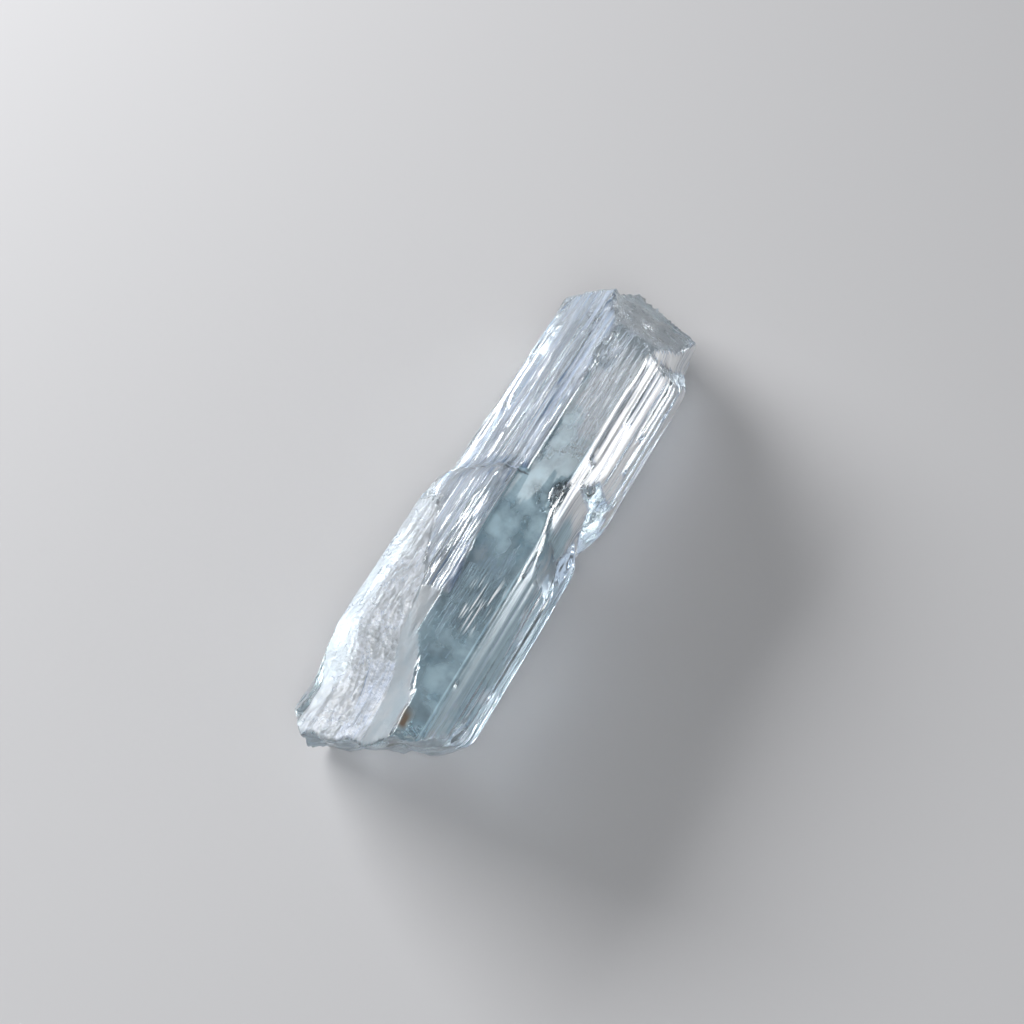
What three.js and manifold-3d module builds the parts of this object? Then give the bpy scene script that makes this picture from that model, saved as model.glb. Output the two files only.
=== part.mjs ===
// A single topaz crystal, lying on one of its prism faces.
// Millimetres, +Z up. Its c axis, along which it grew, is +X: the etched end points to +X, and the
// end where it broke off its rock points to -X. The origin is the middle of the underside of its
// bounding box, on the surface that it lies on.
//
// The body is several crystals that grew side by side into one, all with the same face directions,
// each with its own face distances and its own end. Flat faces are given by their Miller indices,
// and distances are measured from the growth axis, a line along X at half the prism's height.
import * as THREE from "three";
import { mergeVertices } from "three/addons/utils/BufferGeometryUtils.js";
import Module from "manifold-3d";

const wasm = await Module();
wasm.setup();

// ---- Driving dimensions ----
const halfHeight = 7; // from the growth axis to the face it lies on
const farEnd = 31; // reach of the etched end
const nearEnd = -34; // reach of the prism before the break takes its end off
const ledgeAt = 1; // where the lower left crystal ends, in a flat cleavage ledge
const bodyColour = 0xb9d3dc;
const block = 100; // side of the blocks that cut flat faces, larger than the crystal

// ---- Crystal directions ----
const cell = { a: 0.5285, b: 1, c: 0.477 }; // topaz's axial ratios
// It lies on a (-120) face, so its a axis leans this far from upright, towards -Y.
const restTurn = Math.atan2(2 * cell.a, cell.b);
const axisX = new THREE.Vector3(1, 0, 0);

// A direction across the crystal, from how far it goes towards -Y (right) and +Z (up).
function across(right, up, along = 0) {
  return new THREE.Vector3(along, -right, up);
}

// The outward unit normal of the face with these Miller indices.
function pole([h, k, l = 0]) {
  const alongA = h / cell.a;
  const alongB = k / cell.b;
  const right = alongA * Math.sin(restTurn) + alongB * Math.cos(restTurn);
  const up = alongA * Math.cos(restTurn) - alongB * Math.sin(restTurn);
  return across(right, up, l / cell.c).normalize();
}

// ---- Seeded random numbers ----
let seed = 20;
function random(low = 0, high = 1) {
  seed = (seed + 0x6d2b79f5) | 0;
  let mixed = Math.imul(seed ^ (seed >>> 15), 1 | seed);
  mixed = (mixed + Math.imul(mixed ^ (mixed >>> 7), 61 | mixed)) ^ mixed;
  return low + (high - low) * (((mixed ^ (mixed >>> 14)) >>> 0) / 4294967296);
}

// ---- Geometry to solid and back ----
function solidOf(geometry) {
  const bare = geometry.index ? geometry.toNonIndexed() : geometry.clone();
  bare.deleteAttribute("normal");
  bare.deleteAttribute("uv");
  const merged = mergeVertices(bare, 1e-4);
  const mesh = new wasm.Mesh({
    numProp: 3,
    vertProperties: merged.attributes.position.array,
    triVerts: new Uint32Array(merged.index.array),
  });
  return new wasm.Manifold(mesh);
}

function geometryOf(solid) {
  const { vertProperties, triVerts } = solid.getMesh();
  const geometry = new THREE.BufferGeometry();
  geometry.setAttribute("position", new THREE.BufferAttribute(vertProperties, 3));
  geometry.setIndex(new THREE.BufferAttribute(triVerts, 1));
  const flat = geometry.toNonIndexed();
  flat.computeVertexNormals();
  return flat;
}

// Axes of a cutting or growing block that stands on a face: length, width, outward normal.
function frameOn(normal, origin, along = axisX) {
  const wide = new THREE.Vector3().crossVectors(normal, along).normalize();
  const long = new THREE.Vector3().crossVectors(wide, normal);
  return new THREE.Matrix4().makeBasis(long, wide, normal).setPosition(origin);
}

// A point on the growth axis, moved out along a direction.
function fromAxis(direction, distance, x = 0) {
  return direction.clone().multiplyScalar(distance).add(new THREE.Vector3(x, 0, halfHeight));
}

// ---- One crystal of the group ----
// The outline of its section: a large square, cut by each prism face in turn.
function sectionOf(faces) {
  const reach = block / 4;
  const square = [[-1, -1], [1, -1], [1, 1], [-1, 1]];
  let outline = square.map(([r, u]) => new THREE.Vector2(r * reach, u * reach));
  for (const { index, distance } of faces) {
    const normal = pole(index);
    const height = (p) => p.x * -normal.y + p.y * normal.z - distance;
    outline = outline.flatMap((p, i) => {
      const next = outline[(i + 1) % outline.length];
      const [here, there] = [height(p), height(next)];
      const crossing = p.clone().lerp(next, here / (here - there));
      const kept = here <= 0 ? [p] : [];
      return here <= 0 !== there <= 0 ? [...kept, crossing] : kept;
    });
  }
  return outline;
}

// Steps each side of the outline in and out a little, as a prism's lengthwise striations do.
// The side that it lies on stays flat.
function striate(outline, { pitch, depth }) {
  const bank = 0.07; // width of a step's side
  return outline.flatMap((corner, i) => {
    const next = outline[(i + 1) % outline.length];
    const side = next.clone().sub(corner);
    const length = side.length();
    const inward = new THREE.Vector2(-side.y, side.x).normalize();
    if (inward.y > 0.999) return [corner];
    const at = (t, d) => corner.clone().lerp(next, t / length).addScaledVector(inward, d);
    const points = [corner];
    let level = 0;
    for (let t = pitch * random(0.5, 1); t < length - 0.6 * pitch; t += pitch * random(0.45, 1.6)) {
      const lower = level > 0 && random() < 0.5 ? 0 : depth * random(0.35, 1);
      points.push(at(t - bank, level), at(t + bank, lower));
      level = lower;
    }
    return points;
  });
}

// The part of a solid on the inner side of a flat face.
function cutFlat(solid, index, distance) {
  const normal = pole(index);
  const cutter = new THREE.BoxGeometry(block, block, block);
  cutter.translate(0, 0, block / 2);
  cutter.applyMatrix4(frameOn(normal, fromAxis(normal, distance)));
  return solid.subtract(solidOf(cutter));
}

// The part of a solid on the inner side of its end faces.
function trimEnds(solid, ends) {
  return ends.reduce((rest, { index, distance }) => cutFlat(rest, index, distance), solid);
}

// A striated prism with its end faces.
function prismOf({ from, to, faces, ends, striation }) {
  const outline = striate(sectionOf(faces), striation);
  const shape = new THREE.Shape(outline);
  const prism = new THREE.ExtrudeGeometry(shape, { depth: to - from, bevelEnabled: false });
  prism.applyMatrix4(new THREE.Matrix4().makeBasis(across(1, 0), across(0, 1), axisX.clone().negate()));
  prism.translate(to, 0, halfHeight);
  return trimEnds(solidOf(prism), ends);
}

const face = (index, distance) => ({ index, distance });

// Striations: the pitch and depth of the steps, and the sizes of the ridges scattered on the faces.
const fine = { pitch: 1.25, depth: 0.1 };
const coarse = { pitch: 0.95, depth: 0.2 };
const strong = { height: [0.12, 0.3], width: [0.5, 1.3], reach: [7, 24] };

// The largest crystal, which runs the whole length.
const main = {
  from: nearEnd,
  to: farEnd,
  faces: [
    face([1, -2], halfHeight), // on top, level
    face([1, -1], 7.62),
    face([1, 0], 8.14),
    face([1, 1], 7.2),
    face([1, 2], 6.7),
    face([0, 1], 8.42),
    face([-1, 2], halfHeight), // the one it lies on
    face([-1, 0], 8.37),
    face([-1, -1], 8.27),
    face([-1, -2], 7.57),
    face([0, -1], 4.67), // the broad one on the upper left
  ],
  ends: [
    face([1, -1, 1], 19.4),
    face([0, -2, 1], 21.6),
    face([1, 1, 1], 23.6),
    face([0, 2, 1], 24.6),
    face([-1, 1, 1], 23.9),
    face([-1, -1, 1], 23.5),
  ],
  striation: fine,
  ridges: [{ ...strong, count: 36, on: [[0, 1], [-1, 0], [-1, -1], [-1, -2]] }],
};

// Stands proud of the upper left face, from the ledge to the etched end, and reaches further than it.
const crest = {
  from: ledgeAt - 4,
  to: 26.6,
  faces: [
    face([1, -2], halfHeight + 0.16),
    face([1, 0], 5.6),
    face([1, 2], 4),
    face([-1, 2], 0.5),
    face([-1, -2], 7.3),
    face([0, -1], 4.95),
  ],
  ends: [face([1, -1, 1], 21.5), face([0, -2, 1], 21.7), face([-1, -1, 1], 21.9), face([2, 4, 1], 7.4)],
  striation: coarse,
  ridges: [{ ...strong, count: 12, on: [[0, -1]] }],
};

// On the lower left, up to the ledge. The last face is almost a prism face, and narrows the broad
// striated one downwards.
const lowerLeft = {
  from: nearEnd,
  to: ledgeAt,
  faces: [
    face([1, -2], halfHeight + 0.24),
    face([1, 0], 5.62),
    face([1, 2], 5),
    face([-1, 2], 4.5),
    face([-1, -1], 8.9),
    face([-1, -4], 7.85),
    face([0, -1], 6.2),
  ],
  ends: [face([5, -20, -0.6], 7.24)],
  striation: coarse,
  ridges: [{ ...strong, count: 14, on: [[0, -1], [-1, -4]] }],
};

// The strip on the upper right.
const upperRight = {
  from: ledgeAt + 0.5,
  to: farEnd,
  faces: [
    face([1, -2], halfHeight - 0.2),
    face([1, 0], 8.3),
    face([1, 1], 8.2),
    face([1, 2], 8.1),
    face([0, 1], 8.7),
    face([-1, 2], halfHeight - 0.5),
    face([-1, -2], -2),
  ],
  ends: [
    face([1, 0, 1], 19.5),
    face([0, 2, 1], 24),
    face([-1, 1, 1], 22.8),
    face([2, 4, -1], 6),
    face([2, 2, -1], 5.3),
  ],
  striation: coarse,
  ridges: [{ ...strong, count: 14, on: [[1, 0], [1, 1], [1, 2]] }],
};

// The strip on the lower right, with a notch between it and the upper one.
const lowerRight = {
  from: nearEnd,
  to: ledgeAt - 1,
  faces: [
    face([1, -2], halfHeight - 0.2),
    face([1, 0], 8.7),
    face([1, 1], 8.2),
    face([1, 2], 7.7),
    face([0, 1], 8.5),
    face([-1, 2], halfHeight - 0.3),
    face([-1, -2], -2),
  ],
  ends: [face([4, 4, 1], 6.04)],
  striation: coarse,
  ridges: [{ ...strong, count: 14, on: [[1, 0], [1, 1], [1, 2]] }],
};

// Low on the left side, pointed at both ends.
const backLow = {
  from: -19,
  to: 15,
  faces: [
    face([-1, 0], 8.9),
    face([-1, -1], 8.8),
    face([-1, -2], 7.9),
    face([0, -1], 3.6),
    face([1, 1], 0),
    face([-1, 2], halfHeight - 0.4),
  ],
  ends: [face([-1, -1, 1], 13.6), face([-1, -2, -1], 17.5)],
  striation: coarse,
  ridges: [],
};

// ---- Ridges and grooves along the prism ----
// A long low bar on a face, narrower at its crest and sloped down at both ends.
function bar(normal, distance, { x0, x1, offset, width, height }) {
  const sunk = 0.3;
  const slope = Math.min(0.35 * width, 0.5 * height + 0.05);
  const endSlope = 4 * height;
  const box = new THREE.BoxGeometry(1, 1, 1);
  const p = box.attributes.position;
  for (let i = 0; i < p.count; i += 1) {
    const crest = p.getZ(i) > 0;
    const length = x1 - x0 - (crest ? 2 * endSlope : 0);
    p.setXYZ(
      i,
      Math.sign(p.getX(i)) * length / 2,
      Math.sign(p.getY(i)) * (width / 2 - (crest ? slope : 0)),
      crest ? height : -sunk,
    );
  }
  box.translate(0, offset, 0);
  box.applyMatrix4(frameOn(normal, fromAxis(normal, distance, (x0 + x1) / 2)));
  return solidOf(box);
}

// Bars scattered over the faces of one crystal. They stay off its edges and its ends.
function barsOn({ from, to, faces }, { count, height, width, reach, on }) {
  const outline = sectionOf(faces);
  const chosen = faces.filter(({ index }) => on.some(([h, k]) => h === index[0] && k === index[1]));
  const sides = chosen.flatMap(({ index, distance }) => {
    const normal = pole(index);
    const wide = new THREE.Vector3().crossVectors(normal, axisX).normalize();
    const spots = outline
      .filter((p) => Math.abs(p.x * -normal.y + p.y * normal.z - distance) < 1e-6)
      .map((p) => -p.x * wide.y + p.y * wide.z);
    const [low, high] = [Math.min(...spots), Math.max(...spots)];
    return high - low > 1 ? [{ normal, distance, low, high }] : [];
  });
  const total = sides.reduce((sum, { low, high }) => sum + high - low, 0);
  return sides.flatMap(({ normal, distance, low, high }) => {
    const bars = Math.round((count * (high - low)) / total);
    return Array.from({ length: bars }, () => {
      const wide = Math.min(random(...width), (high - low) * 0.7);
      const long = random(...reach);
      const x0 = random(from + 0.5, Math.max(from + 0.6, to - long - 0.5));
      return bar(normal, distance, {
        x0,
        x1: Math.min(x0 + long, to - 0.5),
        offset: random(low + wide / 2, high - wide / 2),
        width: wide,
        height: random(...height),
      });
    });
  });
}

// ---- Rough broken surfaces ----
// Smooth random heights on a square lattice, from -1 to 1.
function roughness(scale, salt) {
  const corner = (i, j) => {
    let n = Math.imul(i + 131 * salt, 374761393) + Math.imul(j + 57, 668265263);
    n = Math.imul(n ^ (n >>> 13), 1274126177);
    return (((n ^ (n >>> 16)) >>> 0) / 4294967296) * 2 - 1;
  };
  const ease = (t) => t * t * (3 - 2 * t);
  return (x, y) => {
    const [i, j] = [Math.floor(x / scale), Math.floor(y / scale)];
    const [s, t] = [ease(x / scale - i), ease(y / scale - j)];
    const low = THREE.MathUtils.lerp(corner(i, j), corner(i + 1, j), s);
    const high = THREE.MathUtils.lerp(corner(i, j + 1), corner(i + 1, j + 1), s);
    return THREE.MathUtils.lerp(low, high, t);
  };
}

// A block whose underside is the broken surface, in the frame's length and width.
function roughCutter(frame, { length, width, step, height }) {
  const [nx, ny] = [Math.round(length / step), Math.round(width / step)];
  const slab = new THREE.BoxGeometry(length, width, 30, nx, ny, 1);
  const p = slab.attributes.position;
  for (let i = 0; i < p.count; i += 1) {
    const [x, y] = [p.getX(i), p.getY(i)];
    p.setZ(i, p.getZ(i) < 0 ? height(x, y) : 30);
  }
  slab.applyMatrix4(frame);
  return solidOf(slab);
}

// The break at the near end: oblique, undercut, and scalloped where flakes came away.
function nearBreak() {
  const outward = across(0.45, -0.39, -1).normalize();
  const frame = frameOn(outward, new THREE.Vector3(-27.9, 0, halfHeight), across(1, 0));
  const broad = roughness(5.5, 1);
  const small = roughness(1.9, 2);
  const scallops = (x) => 0.55 * Math.abs(Math.sin((x * Math.PI) / 4.3 + 0.6)) - 0.3;
  const height = (x, y) => 0.5 * broad(x, y) + 0.28 * small(x, y) + scallops(x);
  return roughCutter(frame, { length: 26, width: 26, step: 1, height });
}

// The corner off the broken end, low on the left.
function cornerBreak() {
  const outward = across(-0.8, -0.1, -1).normalize();
  const frame = frameOn(outward, across(-8.6, 1, -26.9), across(0, 1));
  const small = roughness(1.7, 6);
  return roughCutter(frame, { length: 20, width: 12, step: 1, height: (x, y) => 0.35 * small(x, y) });
}

// The frosted break that took the upper left edge off, deeper towards the near end.
function sideBreak() {
  const outward = across(-0.806, 1, -0.428).normalize();
  const frame = frameOn(outward, across(-1.3, 14, -15.2));
  const broad = roughness(4.5, 3);
  const small = roughness(1.4, 4);
  const fluting = roughness(0.9, 5);
  const levelOff = (x) => 0.32 * Math.max(0, -9.5 - x);
  const hackle = (x, y) => 0.3 * broad(x, y) + 0.2 * small(x / 1.6, y) + 0.14 * fluting(x / 9, y);
  const height = (x, y) => hackle(x, y) + levelOff(x);
  return roughCutter(frame, { length: 42, width: 26, step: 0.95, height });
}

// The shallow part of that break, between the left edge and the crack that bounds it.
function crackRecess() {
  const normal = pole([0, -1]);
  const crack = [[-1.8, 6.5], [-3.6, 2.7], [-6.8, 1.2], [-9.8, -0.5], [-13, -3], [-15.8, -3.9], [-19, -5.5]];
  const bounded = [...crack, [-19, 12], [-1.8, 12]].map(([x, y]) => new THREE.Vector2(x, y));
  const outline = new THREE.Shape(bounded);
  const bounds = new THREE.ExtrudeGeometry(outline, { depth: 8, bevelEnabled: false });
  bounds.applyMatrix4(frameOn(normal, fromAxis(normal, 4)));
  const small = roughness(1.3, 7);
  const frame = frameOn(normal, fromAxis(normal, 5.75, -10));
  const height = (x, y) => 0.16 * small(x / 2.2, y);
  const floor = roughCutter(frame, { length: 22, width: 30, step: 0.9, height });
  return floor.intersect(solidOf(bounds));
}

// The etched face across the end, dulled and dimpled by solution.
function etchedEnd() {
  const normal = pole([1, -1, 1]);
  const frame = frameOn(normal, fromAxis(normal, 19.35), across(1, 0));
  const broad = roughness(3.1, 8);
  const small = roughness(1.2, 9);
  const dimples = (x, y) => 0.3 * broad(x, y) + 0.16 * small(x, y);
  return roughCutter(frame, { length: 24, width: 56, step: 0.95, height: dimples });
}

// A spoon-shaped chip: a low-sided ball, squashed and sunk into an edge.
function chip(x, right, up, radius) {
  const ball = new THREE.IcosahedronGeometry(radius, 1);
  ball.rotateX(random(0, 3));
  ball.rotateZ(random(0, 3));
  ball.scale(random(0.9, 1.8), 1, 1);
  ball.translate(x, -right, up + halfHeight);
  return solidOf(ball);
}

// ---- The crystal ----
function grow(crystal) {
  const bars = crystal.ridges.flatMap((ridges) => barsOn(crystal, ridges));
  const trimmed = bars.map((ridge) => trimEnds(ridge, crystal.ends));
  return trimmed.reduce((sum, ridge) => sum.add(ridge), prismOf(crystal));
}

const etched = [main, upperRight].map((crystal) => grow(crystal).subtract(etchedEnd()));
const sharp = [crest, lowerLeft, lowerRight, backLow].map(grow);
const grown = [...etched, ...sharp].reduce((sum, piece) => sum.add(piece));
const chips = [
  chip(16.6, 1.5, 8.8, 2.2),
  chip(13.4, 1.2, 8.9, 1.9),
  chip(-24.6, 8.6, 3.2, 1.7),
  chip(24.4, -6.6, 3.6, 1.6),
  chip(0.4, -8.8, 1.2, 1.4),
  chip(-19.5, 6.6, -7.4, 1.8),
  chip(9.5, -6.4, -6.9, 1.9),
];
const broken = [nearBreak(), cornerBreak(), sideBreak(), crackRecess(), ...chips];
const whole = broken.reduce((rest, cutter) => rest.subtract(cutter), grown);
const resting = cutFlat(whole, [-1, 2], halfHeight);

const geometry = geometryOf(resting);
geometry.computeBoundingBox();
const middle = geometry.boundingBox.getCenter(new THREE.Vector3());
geometry.translate(-middle.x, -middle.y, -geometry.boundingBox.min.z);

const material = new THREE.MeshStandardMaterial({
  color: bodyColour,
  roughness: 0.15,
  metalness: 0,
  transparent: true,
  opacity: 0.6,
});
const crystal = new THREE.Mesh(geometry, material);
crystal.name = "topaz_crystal";

const part = new THREE.Group();
part.add(crystal);
export default part;
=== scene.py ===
import bpy, math
import numpy as np
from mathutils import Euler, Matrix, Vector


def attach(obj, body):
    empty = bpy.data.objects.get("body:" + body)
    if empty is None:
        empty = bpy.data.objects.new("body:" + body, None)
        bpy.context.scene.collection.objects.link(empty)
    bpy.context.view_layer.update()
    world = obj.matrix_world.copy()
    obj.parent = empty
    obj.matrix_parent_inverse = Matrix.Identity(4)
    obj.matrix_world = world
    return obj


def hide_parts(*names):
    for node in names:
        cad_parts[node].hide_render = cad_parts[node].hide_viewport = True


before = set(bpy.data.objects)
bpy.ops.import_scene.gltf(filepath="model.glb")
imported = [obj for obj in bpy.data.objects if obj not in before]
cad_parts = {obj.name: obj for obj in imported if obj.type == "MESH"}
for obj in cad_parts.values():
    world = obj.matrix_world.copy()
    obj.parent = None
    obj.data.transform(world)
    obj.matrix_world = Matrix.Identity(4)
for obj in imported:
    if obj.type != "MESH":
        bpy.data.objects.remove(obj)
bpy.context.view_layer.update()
mm = 0.001
dice = np.random.default_rng(7)

camera = {
    "azimuth": -61.5,  # degrees round from the crystal's side, towards its broken end
    "elevation": 60.0,
    "distance": 207 * mm,
    "lookAt": (-0.414 * mm, -0.32 * mm, 7 * mm),
    "lens": 75.0,
    "sensor": 36.0,
    "clipStart": 10 * mm,
}
azimuth, elevation = math.radians(camera["azimuth"]), math.radians(camera["elevation"])
cameraBack = Vector((math.sin(azimuth) * math.cos(elevation),
                     -math.cos(azimuth) * math.cos(elevation),
                     math.sin(elevation)))
bpy.ops.object.camera_add(location=Vector(camera["lookAt"]) + camera["distance"] * cameraBack)
cameraObject = bpy.context.object
cameraObject.rotation_euler = cameraBack.to_track_quat("Z", "Y").to_euler()
cameraObject.data.lens = camera["lens"]
cameraObject.data.sensor_width = camera["sensor"]
cameraObject.data.clip_start = camera["clipStart"]
bpy.context.scene.camera = cameraObject
print("camera set")


def linear(hexColour):
    parts = [int(hexColour[i:i + 2], 16) / 255 for i in (0, 2, 4)]
    return tuple(p / 12.92 if p <= 0.04045 else ((p + 0.055) / 1.055) ** 2.4 for p in parts) + (1.0,)


def deselectAll():
    if bpy.context.object and bpy.context.object.mode == "EDIT":
        bpy.ops.object.mode_set(mode="OBJECT")
    bpy.ops.object.select_all(action="DESELECT")


def makeActive(piece):
    deselectAll()
    piece.select_set(True)
    bpy.context.view_layer.objects.active = piece


def selectPoints(piece, chosen):
    # leaves the piece in edit mode, with only these points selected
    makeActive(piece)
    bpy.ops.object.mode_set(mode="EDIT")
    bpy.ops.mesh.select_mode(type="VERT")
    bpy.ops.mesh.select_all(action="DESELECT")
    bpy.ops.object.mode_set(mode="OBJECT")
    for vertex, take in zip(piece.data.vertices, chosen):
        vertex.select = bool(take)
    bpy.ops.object.mode_set(mode="EDIT")


def applyModifier(piece, kind, **settings):
    modifier = piece.modifiers.new(kind.lower(), kind)
    for name, value in settings.items():
        setattr(modifier, name, value)
    makeActive(piece)
    bpy.ops.object.modifier_apply(modifier=modifier.name)


def placesOf(mesh):
    # the mesh's points in millimetres
    flat = np.empty(len(mesh.vertices) * 3)
    mesh.vertices.foreach_get("co", flat)
    return flat.reshape(-1, 3) / mm


def moveTo(mesh, places):
    mesh.vertices.foreach_set("co", (places * mm).ravel())
    mesh.update()


def addMask(mesh, name, values, top):
    layer = mesh.attributes.new(name, "FLOAT", "POINT")
    layer.data.foreach_set("value", np.clip(values, -top, top).astype(np.float32))


def chance(i, j, k, salt):
    # an even random number from 0 to 1 for each whole-number place
    n = (i.astype(np.int64) * 374761393 + j.astype(np.int64) * 668265263
         + k.astype(np.int64) * 2147483647 + salt * 1274126177) & 0xFFFFFFFF
    n = ((n ^ (n >> 13)) * 1274126177) & 0xFFFFFFFF
    n = ((n ^ (n >> 16)) * 2246822519) & 0xFFFFFFFF
    return ((n ^ (n >> 15)) & 0xFFFFFF) / 0x1000000


def lumps(places, size, salt):
    # soft lumps from -1 to 1, of one size or one for each axis, in millimetres
    p = places / np.asarray(size)
    cell = np.floor(p)
    f = p - cell
    f = f * f * (3 - 2 * f)
    total = np.zeros(len(p))
    for dx in (0, 1):
        for dy in (0, 1):
            for dz in (0, 1):
                weight = (f[:, 0] if dx else 1 - f[:, 0]) * (f[:, 1] if dy else 1 - f[:, 1])
                weight = weight * (f[:, 2] if dz else 1 - f[:, 2])
                total += weight * chance(cell[:, 0] + dx, cell[:, 1] + dy, cell[:, 2] + dz, salt)
    return 2 * total - 1


def lanes(t, x, pitch, length, salt):
    # flat-topped lanes along x, each in lengths at their own heights, from -0.5 to 0.5
    none = np.zeros_like(t)
    wavy = np.stack([t, none, none], 1)
    t = t + 0.45 * pitch * lumps(wavy, 1.6 * pitch, salt + 7)
    lane = np.floor(t / pitch)
    stretch = np.floor(x / length + 5 * chance(lane, none, none, salt))
    return chance(lane, stretch, none, salt + 1) - 0.5


def nearPath(places, path):
    # distance in millimetres from each point to a line through given points
    best = np.full(len(places), 1e9)
    path = np.array(path, float)
    for a, b in zip(path[:-1], path[1:]):
        along = np.clip((places - a) @ (b - a) / ((b - a) @ (b - a)), 0, 1)
        best = np.minimum(best, np.linalg.norm(places - (a + along[:, None] * (b - a)), axis=1))
    return best


def smoothStep(value, low, high):
    t = np.clip((value - low) / (high - low), 0, 1)
    return t * t * (3 - 2 * t)


def fadeOut(value, full, none):
    return 1 - smoothStep(value, full, none)


def edgeAt(along, corners):
    # height of a broken line at each place along it
    return np.interp(along, *zip(*corners))


def newMaterial(name, constants):
    material = bpy.data.materials.new(name)
    material.use_nodes = True
    shader = material.node_tree.nodes["Principled BSDF"]
    for socket, value in constants.items():
        shader.inputs[socket].default_value = value
    return material, material.node_tree, shader


def addNode(tree, kind, inputs=(), output=0, **settings):
    # adds a node with its settings and links, and gives one of its outputs. Its inputs are a list in
    # the node's order, or a dictionary by name or number
    node = tree.nodes.new("ShaderNode" + kind)
    for name, value in settings.items():
        setattr(node, name, value)
    named = inputs if isinstance(inputs, dict) else dict(enumerate(inputs))
    for name, value in named.items():
        socket = node.inputs[name]
        if isinstance(value, bpy.types.NodeSocket):
            tree.links.new(value, socket)
        else:
            socket.default_value = value
    return node.outputs[output]


# The body. Places are x, y, z in millimetres, and "around" is in degrees round the growth axis: 0 on
# top, and positive to the right when looking towards the etched end
bodyPlan = {
    "columns": 500,  # lines of points along the prism
    "ringsAlong": 118,
    "ringsAtEnd": 31,
    "coreRadius": 1.5 * mm,
    "coreFrom": -24.5 * mm,
    "coreTo": 24 * mm,
    "endMargin": 0.07 * mm,  # reaches the first ring of each rounded end, and not the second
    "axisHeight": 7,
    "girthRadius": 8,
    "ledgeAt": 0.586 * mm,
    "ledgeWidth": 0.03 * mm,
    # where the frosted break is smoothed: between these places along, on the left of a broken line
    "calmFrom": -26.5,
    "calmTo": -4,
    "calmEdge": [(-27, -4.2), (-20, -1.2), (-13, 1.5), (-4, 5)],
    # the frosted break lies left of the crack, and the facet left of the frost's edge: along, around
    "crackEdge": [(-31, 14), (-24.4, 8), (-19.6, -9), (-16.2, -12), (-13.4, -16.5), (-10.2, -37),
                  (-4, -64)],
    "frostEdge": [(-31, 28), (-24.4, 26), (-19.6, 9.5), (-16.2, -9), (-13.4, -16.5), (-10.2, -37),
                  (-4, -64)],
    "topHeight": 13.95,
    "topRelief": 0.12,  # share of the solid's unevenness that the level face keeps
    # striations: pitch, length and height in millimetres
    "striations": [(1.15, 17, 0.13), (0.6, 12, 0.1), (0.32, 8, 0.07), (0.18, 5, 0.045)],
    # share of that height on the smooth band, near the floor, on the right and elsewhere
    "striationShares": (0.03, 0.1, 0.12, 0.6),
    # lump sizes along and across, and height
    "hackle": [((3.0, 1.4), 0.06), ((2.2, 0.7), 0.06), ((1.1, 0.35), 0.04)],
    "shellBreak": [((2.6, 2.6), 0.14), ((1.2, 1.2), 0.06)],
    "dimples": [((2.3, 2.3), 0.26), ((1.1, 1.1), 0.13), ((0.55, 0.55), 0.07)],
    "ridge": (12, 3, 4.5),  # where it is, how far it wanders, and its reach to each side
    "chipDepth": 0.22,
    "crackDepth": 0.28,
    "crack": [(-4.0, 6.1, 9.8), (-7, 4.9, 10.9), (-10.2, 3.5, 11.9), (-13.4, 2.0, 13.6), (-16.2, 1.4, 13.7),
              (-19.6, 1.3, 12.9)],
    # milkiness under the level face: centre, reach along and across, strength
    "haze": [((-2.5, -2.5), (7.5, 5.5), 1.0), ((-20.5, -5.0), (6.5, 3.2), 0.75), ((6.5, -2.2), (3.4, 1.6), 0.9),
             ((10.5, -1.3), (3.0, 0.7), 0.6), ((-12.0, -6.5), (9.0, 2.0), 0.5)],
    "hazeElsewhere": [(4, 0.38), (8, 0.07)],  # along, strength
    # thin white lines on the level face, in the same way
    "lines": [((-13.8, -4.2), (3.4, 2.0), 1.0), ((13.5, -3.2), (6.0, 2.2), 0.6)],
    # stains, and a painted blue-white sheen: their path, how far it wanders, and the distances where they are
    # full and gone
    "stainsAndSheen": {
        # a painted sheen: a bright blue-white patch
        "bluePatch": ([(-11.6, -7.0, 13.0), (-14.9, -7.4, 12.0), (-17.8, -7.9, 10.4)], 2, 0.5, 1.9),
        "rust": ([(-26.2, -3.8, 13.8), (-27.6, -3.9, 13.6), (-27.9, -3.5, 12.0), (-28.0, -2.9, 9.0)],
                 0.5, 0.3, 0.95),
        "rustSeam": ([(-16.0, 1.4, 13.3), (-19.8, -0.6, 13.6), (-23.3, -2.3, 13.6), (-25.8, -3.5, 13.8)],
                     0.4, 0.05, 0.35),
        "rustSpot": ([(18.2, -7.0, 12.2), (19.2, -7.2, 11.2)], 1, 0.1, 1.0),
    },
}


def mergedCopy(name):
    # a copy of the CAD solid with its loose triangles joined
    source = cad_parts["topaz_crystal"]
    copied = source.copy()
    copied.data = source.data.copy()
    copied.name = name
    bpy.context.collection.objects.link(copied)
    makeActive(copied)
    bpy.ops.object.mode_set(mode="EDIT")
    bpy.ops.mesh.select_all(action="SELECT")
    bpy.ops.mesh.remove_doubles(threshold=1e-6)
    bpy.ops.object.mode_set(mode="OBJECT")
    return copied


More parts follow.
